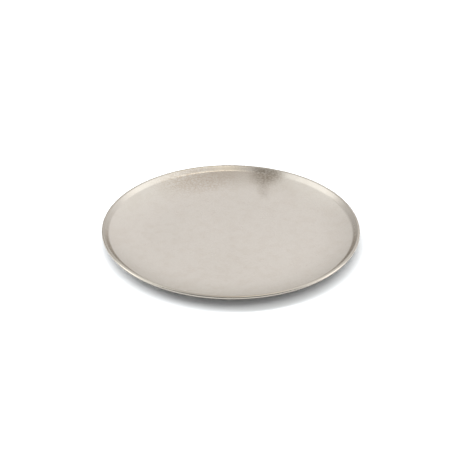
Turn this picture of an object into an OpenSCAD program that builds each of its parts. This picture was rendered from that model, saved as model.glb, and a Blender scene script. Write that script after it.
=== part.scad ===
// Shallow round metal plate with a raised lip and a wired edge.
// The dish is one sheet of metal, spun to shape. Its edge is rolled over and round a ring of wire,
// which stiffens it and makes it smooth. The plate stands on a flat ring of its base.
// Millimetres, +Z up. The origin is on the resting plane, on the axis of the plate.

/* [Plate] */
// Overall diameter, measured over the rolled edge
plate_d = 200; // [150:1:320]
// Overall height, from the resting plane to the top of the rolled edge
plate_h = 9; // [7:0.5:11]
// Slope of the wall where it meets the lip, in degrees. The wall is level where it leaves the base
wall_slope = 16; // [14:1:20]

/* [Lip] */
// Width of the raised lip, from the end of the wall out to the outer edge
lip_w = 6; // [5.5:0.5:8]
// Slope of the lip, in degrees
lip_slope = 45; // [40:1:48]
// Inner radius of the bend between wall and lip
bend_r = 3; // [2:0.5:4]

/* [Sheet] */
// Thickness of the sheet metal, the same in base, wall, lip and rolled edge
sheet_t = 0.7; // [0.5:0.1:0.8]
// Width of the flat ring that the plate stands on
ring_w = 8; // [4:0.5:12]
// Rise of the middle of the base above the resting plane, which keeps the plate from rocking
crown_h = 0.4; // [0.1:0.1:1]

/* [Rolled edge] */
// Diameter of the wire inside the rolled edge
wire_d = 1.2; // [1:0.1:1.6]
// Clearance between the wire and the sheet rolled round it
wire_gap = 0.1; // [0.05:0.05:0.15]
// Width of the seam under the edge, between the cut end of the sheet and the lip
seam_w = 0.2; // [0.1:0.05:0.3]

/* [Hidden] */
$fn = 180;

// Straight steps that draw each curve of the sheet
crown_steps = 12;
wall_steps = 16;
bend_steps = 8;
roll_steps = 40;

// Unit vector at an angle from the outward direction, counted upwards
function toward(turn) = [cos(turn), sin(turn)];

// Places in the cross-section are [radius, height]. The rolled edge is a tube of sheet whose
// middle is the middle of the wire.
wire_r = wire_d / 2;
roll_in_r = wire_r + wire_gap;
roll_mid_r = roll_in_r + sheet_t / 2;
bead_r = roll_in_r + sheet_t;
bead = [plate_d / 2 - bead_r, plate_h - bead_r];

// The lip runs straight up to the roll and over into it. From its foot the bend leads down to the
// end of the wall. These directions are those of the lower face of the sheet.
wall_face = toward(wall_slope - 90);
lip_face = toward(lip_slope - 90);
lip_end = bead - roll_mid_r * lip_face;
bend_mid_r = bend_r + sheet_t / 2;
wall_end_r = plate_d / 2 - lip_w;
lip_run = lip_end[0] - wall_end_r - bend_mid_r * (lip_face[0] - wall_face[0]);
lip_foot = lip_end - lip_run * [1, tan(lip_slope)];
bend_centre = lip_foot - bend_mid_r * lip_face;
wall_end = bend_centre + bend_mid_r * wall_face;

// The wall is one arc, level where it leaves the base, so its slope at its end fixes its radius,
// which is given here for the middle of the sheet, and the radius of the base
wall_mid_r = (wall_end[1] - sheet_t / 2) / (1 - cos(wall_slope));
base_r = wall_end_r - wall_mid_r * sin(wall_slope);
crown_r = base_r - ring_w;
wall_centre = [base_r, sheet_t / 2 + wall_mid_r];

// The roll goes over the wire and on round it, until its cut end nearly meets the lip again
roll_start = 90 + lip_slope;
seam_turn = acos(roll_in_r / bead_r) + 2 * asin(seam_w / 2 / bead_r);
roll_end = roll_start - 360 + seam_turn;

// Height of the crown of the base above the resting plane, at a radius
function crown_z(r) = crown_h * (1 - r * r / (crown_r * crown_r));

// Stations along the middle of the sheet, each its place and the direction of its upper face.
// Those of an arc start one step in, so that no place is given twice.
function crown_stations() = [for (i = [0 : crown_steps])
    let (r = crown_r * i / crown_steps)
    [[r, crown_z(r) + sheet_t / 2], toward(90)]];
function arc_stations(centre, mid_r, from, to, steps, face) = [for (i = [1 : steps])
    let (turn = from + (to - from) * i / steps)
    [centre + mid_r * toward(turn), face * toward(turn)]];

// The whole sheet, from the axis to its cut end under the rolled edge
inwards = -1;
outwards = 1;
sheet_stations = concat(
    crown_stations(),
    [[[base_r, sheet_t / 2], toward(90)]],
    arc_stations(wall_centre, wall_mid_r, -90, wall_slope - 90, wall_steps, inwards),
    arc_stations(bend_centre, bend_mid_r, wall_slope - 90, lip_slope - 90, bend_steps, inwards),
    [[lip_end, -lip_face]],
    arc_stations(bead, roll_mid_r, roll_start, roll_end, roll_steps, outwards)
);

// Both faces of the sheet, the upper one drawn back from the cut end to the axis
module sheet_outline() {
    last = len(sheet_stations) - 1;
    lower = [for (s = sheet_stations) s[0] - s[1] * sheet_t / 2];
    upper = [for (i = [last : -1 : 0]) let (s = sheet_stations[i]) s[0] + s[1] * sheet_t / 2];
    polygon(concat(lower, upper));
}

// Sheet metal dish: crowned base, resting ring, gentle wall, raised lip and rolled edge
module dish() {
    color([0.82, 0.79, 0.76]) rotate_extrude() sheet_outline();
}

// Steel wire, bent to a closed ring, that the edge is rolled round
module rim_wire() {
    color([0.55, 0.55, 0.56]) rotate_extrude() translate(bead) circle(r = wire_r);
}

dish();
rim_wire();
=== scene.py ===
import math

import bpy
from mathutils import Matrix, Vector


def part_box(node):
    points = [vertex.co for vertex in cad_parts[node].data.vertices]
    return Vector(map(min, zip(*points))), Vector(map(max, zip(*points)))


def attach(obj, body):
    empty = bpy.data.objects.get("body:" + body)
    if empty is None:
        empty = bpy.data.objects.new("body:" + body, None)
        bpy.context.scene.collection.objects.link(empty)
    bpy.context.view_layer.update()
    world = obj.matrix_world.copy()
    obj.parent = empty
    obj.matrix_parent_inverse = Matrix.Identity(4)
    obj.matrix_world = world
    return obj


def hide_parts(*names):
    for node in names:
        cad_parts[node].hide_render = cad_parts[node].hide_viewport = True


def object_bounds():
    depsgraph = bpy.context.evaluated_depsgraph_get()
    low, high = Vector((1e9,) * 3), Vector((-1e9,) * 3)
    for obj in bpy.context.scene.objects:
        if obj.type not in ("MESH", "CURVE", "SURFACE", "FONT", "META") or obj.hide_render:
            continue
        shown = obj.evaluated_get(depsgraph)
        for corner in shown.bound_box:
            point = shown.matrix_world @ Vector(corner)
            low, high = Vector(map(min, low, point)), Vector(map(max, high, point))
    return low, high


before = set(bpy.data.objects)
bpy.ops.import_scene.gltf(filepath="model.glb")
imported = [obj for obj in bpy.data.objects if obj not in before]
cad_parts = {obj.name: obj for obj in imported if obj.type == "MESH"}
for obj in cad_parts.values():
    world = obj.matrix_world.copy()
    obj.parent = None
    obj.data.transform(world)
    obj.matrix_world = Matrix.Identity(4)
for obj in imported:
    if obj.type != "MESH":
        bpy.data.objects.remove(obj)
cad_low, cad_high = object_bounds()
mm = 0.001

# Camera: it looks down on the plate at 31 degrees from 1.2 m away, with a long lens. It aims a
# little below and right of the plate, and the picture leans by less than half a degree.
view_distance = 1.2
view_elevation = math.radians(30.85)
view_lean = math.radians(0.39)
lens_mm = 119.79
sensor_mm = 36
nearest_seen = 50 * mm
aim_right = 1.264 * mm
aim_down = 3.84 * mm
bead_middle = Vector((0, 0, 7.6 * mm))

towards_camera = Vector((0, -math.cos(view_elevation), math.sin(view_elevation)))
sideways = Vector((1, 0, 0))
camera_place = bead_middle + view_distance * towards_camera
aim = bead_middle + aim_right * sideways - aim_down * towards_camera.cross(sideways)

backwards = (camera_place - aim).normalized()
picture_right = Vector((0, 0, 1)).cross(backwards).normalized()
picture_up = backwards.cross(picture_right)
axes = Matrix((picture_right, picture_up, backwards)).transposed()
camera_data = bpy.data.cameras.new("camera")
camera_data.sensor_width = sensor_mm
camera_data.lens = lens_mm
camera_data.clip_start = nearest_seen
camera = bpy.data.objects.new("camera", camera_data)
camera.matrix_world = (
    Matrix.Translation(camera_place) @ axes.to_4x4() @ Matrix.Rotation(view_lean, 4, "Z")
)
bpy.context.scene.collection.objects.link(camera)
bpy.context.scene.camera = camera

# Dish: one disc of sheet metal, spun on a lathe over a former and then plated with nickel. Round a
# crowned base and a flat resting ring, the wall rises gently to a steeper lip. The edge is rolled
# over and round the rim wire until its cut end nearly meets the lip again.
dish_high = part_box("dish")[1]
plate_r = dish_high.x
plate_h = dish_high.z
sheet_t = 0.7 * mm
wall_slope = math.radians(16)
lip_slope = math.radians(45)
lip_w = 6 * mm
bend_r = 3 * mm
ring_w = 8 * mm
crown_h = 0.4 * mm
wire_r = 0.6 * mm
wire_gap = 0.1 * mm
seam_w = 0.2 * mm

# How finely the sheet is drawn, and the angle from which an edge of it looks sharp
crown_steps = 24
wall_steps = 32
bend_steps = 16
roll_steps = 72
steps_round = 384
sharp_angle = math.radians(40)


def toward(turn):
    return Vector((math.cos(turn), math.sin(turn)))


def arc_stations(centre, mid_r, start, end, steps, face):
    """Places along the middle of the sheet, each with the direction of its upper face."""
    turns = [start + (end - start) * i / steps for i in range(1, steps + 1)]
    return [(centre + mid_r * toward(turn), face * toward(turn)) for turn in turns]


def sheet_outline():
    """Both faces of the sheet as [radius, height], from the axis to the cut end and back."""
    down = -math.pi / 2
    wall_turn = down + wall_slope
    lip_turn = down + lip_slope
    half_t = sheet_t / 2
    roll_in_r = wire_r + wire_gap
    roll_mid_r = roll_in_r + half_t
    bead_r = roll_in_r + sheet_t
    bead = Vector((plate_r - bead_r, plate_h - bead_r))
    bend_mid_r = bend_r + half_t
    wall_face = toward(wall_turn)
    lip_face = toward(lip_turn)
    lip_end = bead - roll_mid_r * lip_face
    lip_run = lip_end.x - (plate_r - lip_w) - bend_mid_r * (lip_face.x - wall_face.x)
    lip_foot = lip_end - lip_run * Vector((1, math.tan(lip_slope)))
    bend_centre = lip_foot - bend_mid_r * lip_face
    wall_end = bend_centre + bend_mid_r * wall_face
    wall_mid_r = (wall_end.y - half_t) / (1 - math.cos(wall_slope))
    base_r = wall_end.x - wall_mid_r * math.sin(wall_slope)
    crown_r = base_r - ring_w
    wall_centre = Vector((base_r, half_t + wall_mid_r))
    roll_start = lip_slope - down
    seam_turn = math.acos(roll_in_r / bead_r) + 2 * math.asin(seam_w / 2 / bead_r)
    roll_end = roll_start - 2 * math.pi + seam_turn

    level = Vector((0, 1))
    inwards, outwards = -1, 1
    crown_rs = [crown_r * i / crown_steps for i in range(crown_steps + 1)]
    stations = [
        (Vector((r, crown_h * (1 - (r / crown_r) ** 2) + half_t)), level) for r in crown_rs
    ]
    stations += [(Vector((r, half_t)), level) for r in (crown_r + ring_w / 2, base_r)]
    stations += arc_stations(wall_centre, wall_mid_r, down, wall_turn, wall_steps, inwards)
    stations += arc_stations(bend_centre, bend_mid_r, wall_turn, lip_turn, bend_steps, inwards)
    stations += [((lip_foot + lip_end) / 2, -lip_face), (lip_end, -lip_face)]
    stations += arc_stations(bead, roll_mid_r, roll_start, roll_end, roll_steps, outwards)
    lower = [place - face * half_t for place, face in stations]
    upper = [place + face * half_t for place, face in reversed(stations)]
    return lower + upper


def lathe_mesh(name, outline, steps):
    """Turns an outline that starts and ends on the axis into a closed mesh with smooth faces."""
    on_axis = 1e-9
    verts = []
    rings = []
    for point in outline:
        if point.x < on_axis:
            rings.append([len(verts)] * steps)
            verts.append((0, 0, point.y))
        else:
            rings.append(list(range(len(verts), len(verts) + steps)))
            for i in range(steps):
                around = toward(2 * math.pi * i / steps)
                verts.append((point.x * around.x, point.x * around.y, point.y))
    faces = []
    for inner, outer in zip(rings, rings[1:]):
        for i in range(steps):
            j = (i + 1) % steps
            corners = dict.fromkeys((inner[i], inner[j], outer[j], outer[i]))
            faces.append(tuple(corners))
    mesh = bpy.data.meshes.new(name)
    mesh.from_pydata(verts, [], faces)
    mesh.shade_smooth()
    mesh.set_sharp_from_angle(angle=sharp_angle)
    mesh.validate()
    return mesh


class Signal:
    """A shader socket. Its operators add Math nodes, and node() adds any other node."""

    def __init__(self, tree, socket=None):
        self.tree = tree
        self.socket = socket

    def node(self, kind, settings, sockets, output=0):
        added = self.tree.nodes.new("ShaderNode" + kind)
        for name, value in settings.items():
            setattr(added, name, value)
        for name, value in sockets.items():
            if isinstance(value, Signal):
                self.tree.links.new(value.socket, added.inputs[name])
            else:
                added.inputs[name].default_value = value
        return Signal(self.tree, added.outputs[output] if added.outputs else None)

    def math(self, operation, *values):
        return self.node("Math", {"operation": operation}, dict(enumerate(values)))

    def __add__(self, other):
        return self.math("ADD", self, other)

    def __radd__(self, other):
        return self.math("ADD", other, self)

    def __sub__(self, other):
        return self.math("SUBTRACT", self, other)

    def __rsub__(self, other):
        return self.math("SUBTRACT", other, self)

    def __mul__(self, other):
        return self.math("MULTIPLY", self, other)

    def __rmul__(self, other):
        return self.math("MULTIPLY", other, self)

    def __truediv__(self, other):
        return self.math("DIVIDE", self, other)

    def __rtruediv__(self, other):
        return self.math("DIVIDE", other, self)

    def ease(self, start, end):
        """Rises smoothly from 0 where this value is at start to 1 where it is at end."""
        return self.node(
            "MapRange",
            {"interpolation_type": "SMOOTHSTEP"},
            {"Value": self, "From Min": start, "From Max": end},
        )

    def mix(self, low, high):
        """A colour that turns from low to high as this value goes from 0 to 1."""
        return self.node(
            "Mix", {"data_type": "RGBA"}, {0: self, 6: low, 7: high}, output=2
        )


def new_material(name):
    material = bpy.data.materials.new(name)
    material.use_nodes = True
    material.node_tree.nodes.clear()
    return material, Signal(material.node_tree)


nickel = (0.630, 0.585, 0.535, 1)
nickel_glint = (0.85, 0.84, 0.82, 1)
warm_tarnish = (0.530, 0.460, 0.395, 1)
brown_tarnish = (0.300, 0.260, 0.215, 1)
# A darker band round the foot of the bead, between these radii: partly worn plating, partly
# painted shade that draws the thin dark line along the edge
worn_and_shaded_edge = (0.490, 0.450, 0.400, 1)
edge_shade_from_r, edge_shade_to_r = 97.4 * mm, 97.9 * mm

# Stains by their middle and half size on the plate and their turn: a warm one at the back left,
# and a brown one at the back right with a fainter streak that runs from it into the dish
warm_stain = ((-30 * mm, 80 * mm, 0), (34 * mm, 16 * mm, 1), 0.2)
brown_stain = ((30 * mm, 92 * mm, 0), (15 * mm, 17 * mm, 1), -0.3)
brown_streak = ((26.2 * mm, 70 * mm, 0), (5.5 * mm, 13 * mm, 1), 0.1)
warm_strength, cloud_strength, speck_strength = 0.75, 0.15, 0.14
streak_strength = 0.32
brown_even, brown_grainy = 0.56, 0.44

# Noise levels between which each pattern comes up
warm_levels = (0.36, 0.62)
cloud_levels = (0.42, 0.66)
speck_levels = (0.52, 0.72)
brown_levels = (0.35, 0.65)

# Finish: lathe marks run round the axis, over clouds and grain in the plating. Each noise scale is
# a count per metre. The marks and the grain move the satin roughness up and down.
marks_per_metre = 1400
cloud_scale = 110
grain_scale = 620
noise_middle = 0.5
satin_rough = 0.25
mark_rough = 0.08
grain_rough = 0.10
mark_strength = 0.25
mark_depth = 0.12 * mm
stretch_round = 0.5
quarter_turn = 0.25


def smudge(place, middle, half_size, turn):
    """1 in the middle of an oval on the plate, fading to 0 outside it."""
    faded_out, full = 1.3, 0.3
    laid = place.node(
        "Mapping",
        {"vector_type": "TEXTURE"},
        {"Vector": place, "Location": middle, "Rotation": (0, 0, turn), "Scale": half_size},
    )
    reach = laid.node("VectorMath", {"operation": "LENGTH"}, {0: laid}, output="Value")
    return reach.ease(faded_out, full)


def satin_nickel():
    material, start = new_material("satin_nickel")
    place = start.node("TexCoord", {}, {}, output="Object")
    flat = start.node("VectorMath", {"operation": "MULTIPLY"}, {0: place, 1: (1, 1, 0)})
    radius = start.node("VectorMath", {"operation": "LENGTH"}, {0: flat}, output="Value")
    around = start.node("VectorMath", {"operation": "NORMALIZE"}, {0: flat})
    ring = start.node("CombineXYZ", {}, {2: radius * marks_per_metre})
    spun = start.node("VectorMath", {"operation": "ADD"}, {0: around, 1: ring})
    marks = start.node("TexNoise", {}, {"Vector": spun, "Scale": 1, "Detail": 3})
    clouds = start.node("TexNoise", {}, {"Vector": place, "Scale": cloud_scale, "Detail": 6})
    grain = start.node("TexNoise", {}, {"Vector": place, "Scale": grain_scale, "Detail": 3})

    warm = smudge(flat, *warm_stain) * grain.ease(*warm_levels) * warm_strength
    warm = warm + clouds.ease(*cloud_levels) * cloud_strength
    warm = warm + grain.ease(*speck_levels) * speck_strength
    brown = smudge(flat, *brown_stain) + smudge(flat, *brown_streak) * streak_strength
    brown = brown * (brown_even + grain.ease(*brown_levels) * brown_grainy)
    colour = brown.mix(warm.mix(nickel, warm_tarnish), brown_tarnish)
    # Painted shade: the band where the lip runs into the bead is darkened, partly as worn plating
    # and partly as shade for the dark line along the edge
    colour = radius.ease(edge_shade_from_r, edge_shade_to_r).mix(colour, worn_and_shaded_edge)
    rough = satin_rough + (marks - noise_middle) * mark_rough
    rough = rough + (grain - noise_middle) * grain_rough
    bump = start.node(
        "Bump", {}, {"Strength": mark_strength, "Distance": mark_depth, "Height": marks}
    )
    surface = start.node(
        "BsdfPrincipled",
        {},
        {
            "Base Color": colour,
            "Metallic": 1,
            "Specular Tint": nickel_glint,
            "Roughness": rough,
            "Anisotropic": stretch_round,
            "Anisotropic Rotation": quarter_turn,
            "Normal": bump,
        },
    )
    start.node("OutputMaterial", {}, {"Surface": surface})
    return material


dish = bpy.data.objects.new("spun_dish", lathe_mesh("spun_dish", sheet_outline(), steps_round))
bpy.context.scene.collection.objects.link(dish)
dish.data.materials.append(satin_nickel())
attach(dish, "root")
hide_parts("dish")

# Rim wire: a ring of drawn steel wire inside the rolled edge, held by the sheet that wraps it. It
# shows only as a thread of grey through the seam under the edge.
drawn_steel = (0.42, 0.42, 0.43, 1)
die_dirt = (0.20, 0.19, 0.18, 1)
die_mark_scale = 600
die_mark_share = 0.2
wire_rough = 0.3

steel, start = new_material("drawn_steel")
place = start.node("TexCoord", {}, {}, output="Object")
die_marks = start.node(
    "TexNoise", {}, {"Vector": place, "Scale": die_mark_scale, "Detail": 2}
)
surface = start.node(
    "BsdfPrincipled",
    {},
    {
        "Base Color": (die_marks * die_mark_share).mix(drawn_steel, die_dirt),
        "Metallic": 1,
        "Roughness": wire_rough + die_marks * die_mark_share,
    },
)
start.node("OutputMaterial", {}, {"Surface": surface})
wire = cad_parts["rim_wire"]
wire.data.materials.clear()
wire.data.materials.append(steel)

# Floor: a plain white table top, level with the bottom of the resting ring. It is so wide that its
# edge never shows, and its white is a little cool, as the photo's shadow is.
floor_half = 6.0
floor_white = (0.670, 0.687, 0.708, 1)

floor_mesh = bpy.data.meshes.new("floor")
floor_mesh.from_pydata(
    [(x * floor_half, y * floor_half, cad_low.z) for x, y in ((-1, -1), (1, -1), (1, 1), (-1, 1))],
    [],
    [(0, 1, 2, 3)],
)
floor = bpy.data.objects.new("floor", floor_mesh)
bpy.context.scene.collection.objects.link(floor)
white, start = new_material("white_floor")
surface = start.node("BsdfDiffuse", {}, {"Color": floor_white})
start.node("OutputMaterial", {}, {"Surface": surface})
floor_mesh.materials.append(white)

# Studio: white walls that fall off towards the horizon, with a soft lamp that has a hotter middle
# and a bright strip of ceiling on each side. Between them are a dimmer ceiling and one warm lamp,
# and the camera stands on the dark side. What the camera sees directly is white.
plain_white = (1, 1, 1, 1)
wall_light = (1.08, 1.08, 1.085, 1)
left_wall_light = (0.80, 0.80, 0.79, 1)
left_horizon = (0.57, 0.565, 0.55, 1)
right_horizon = (0.79, 0.79, 0.78, 1)
middle_horizon = (0.91, 0.91, 0.90, 1)
ceiling_strip_light = (1.18, 1.20, 1.19, 1)
ceiling_light = (0.70, 0.67, 0.63, 1)
warm_lamp_light = (1.95, 1.86, 1.60, 1)
lamp_light = (1.47, 1.50, 1.48, 1)
hot_middle_light = (3.0, 2.96, 2.88, 1)
camera_side_light = (0.28, 0.28, 0.285, 1)

# Panels of the studio in degrees: azimuth and elevation of the middle, half width, half height and
# the width over which the edge fades
left_ceiling_strip = (-54, 56, 24, 8, 10)
right_ceiling_strip = (52, 56, 26, 8, 10)
warm_lamp = (136, 76, 16, 7, 5)
left_lamp = (-94, 30, 16, 16, 20)
right_lamp = (94, 30, 16, 16, 20)
left_hot_middle = (-87, 12, 8, 10, 8)
right_hot_middle = (87, 12, 8, 10, 8)
camera_side = (180, 22, 52, 28, 12)

# Where one part of the studio gives way to the next, as the sine of an angle: to the right of the
# middle (negative to the left), to either side of it, or above the horizon
left_wall_fade = (-0.35, 0.0)
right_horizon_fade = (0.10, 0.50)
middle_horizon_fade = (0.20, 0.03)
ceiling_side_fade = (0.17, 0.08)
wall_height_fade = (0.12, 0.46)
ceiling_height_fade = (0.66, 0.84)

world = bpy.data.worlds.new("studio")
bpy.context.scene.world = world
world.use_nodes = True
world.node_tree.nodes.clear()
start = Signal(world.node_tree)
direction = start.node("TexCoord", {}, {}, output="Generated")


def aimed(azimuth, elevation):
    """Direction at an azimuth, counted from straight behind the plate to the right."""
    a, e = math.radians(azimuth), math.radians(elevation)
    return Vector((math.sin(a) * math.cos(e), math.cos(a) * math.cos(e), math.sin(e)))


def along_axis(axis):
    return start.node(
        "VectorMath", {"operation": "DOT_PRODUCT"}, {0: direction, 1: axis}, output="Value"
    )


def panel(azimuth, elevation, half_wide, half_high, fade):
    """1 inside a rectangle of the surroundings, given by its middle and half angles."""
    behind, in_front = 0, 0.1
    middle = aimed(azimuth, elevation)
    side = aimed(azimuth + 90, 0)
    ahead = along_axis(middle)
    inside = ahead.ease(behind, in_front)
    for axis, half in ((side, half_wide), (side.cross(middle), half_high)):
        inner = math.tan(math.radians(half))
        outer = math.tan(math.radians(half + fade))
        off_axis = start.math("ABSOLUTE", along_axis(axis))
        inside = inside * (off_axis / ahead).ease(outer, inner)
    return inside


to_right = along_axis(Vector((1, 0, 0)))
height = along_axis(Vector((0, 0, 1)))
off_middle = start.math("ABSOLUTE", to_right)
walls = to_right.ease(*left_wall_fade).mix(left_wall_light, wall_light)
horizon = to_right.ease(*right_horizon_fade).mix(left_horizon, right_horizon)
horizon = off_middle.ease(*middle_horizon_fade).mix(horizon, middle_horizon)
light = height.ease(*wall_height_fade).mix(horizon, walls)
light = panel(*left_ceiling_strip).mix(light, ceiling_strip_light)
light = panel(*right_ceiling_strip).mix(light, ceiling_strip_light)
overhead = off_middle.ease(*ceiling_side_fade) * height.ease(*ceiling_height_fade)
light = overhead.mix(light, ceiling_light)
light = panel(*warm_lamp).mix(light, warm_lamp_light)
light = panel(*left_lamp).mix(light, lamp_light)
light = panel(*right_lamp).mix(light, lamp_light)
light = panel(*left_hot_middle).mix(light, hot_middle_light)
light = panel(*right_hot_middle).mix(light, hot_middle_light)
light = panel(*camera_side).mix(light, camera_side_light)
seen = start.node("LightPath", {}, {}, output="Is Camera Ray")
light = seen.mix(light, plain_white)
surface = start.node("Background", {}, {"Color": light, "Strength": 1})
start.node("OutputWorld", {}, {"Surface": surface})

# Table lamps: a long strip behind the plate and fainter lamps at its sides and front. They light
# the floor, leave the soft shadow under the front of the rim, and are kept out of the reflections.
lamp_height = 0.4
for name, place, width, watts in (
    ("back_strip", (-0.2, 0.8, 1.0), 4.2, 58),
    ("left_lamp", (-1.2, 0.15, 0.85), 0.6, 2.5),
    ("right_lamp", (1.2, 0.15, 0.85), 0.6, 1.6),
    ("front_lamp", (-0.2, -1.1, 0.6), 2.4, 2.5),
):
    lamp_data = bpy.data.lights.new(name, "AREA")
    lamp_data.shape = "RECTANGLE"
    lamp_data.size = width
    lamp_data.size_y = lamp_height
    lamp_data.energy = watts
    lamp = bpy.data.objects.new(name, lamp_data)
    lamp.location = place
    lamp.rotation_euler = Vector(place).to_track_quat("Z", "Y").to_euler()
    lamp.visible_glossy = False
    bpy.context.scene.collection.objects.link(lamp)

bpy.context.scene.view_settings.view_transform = "Standard"
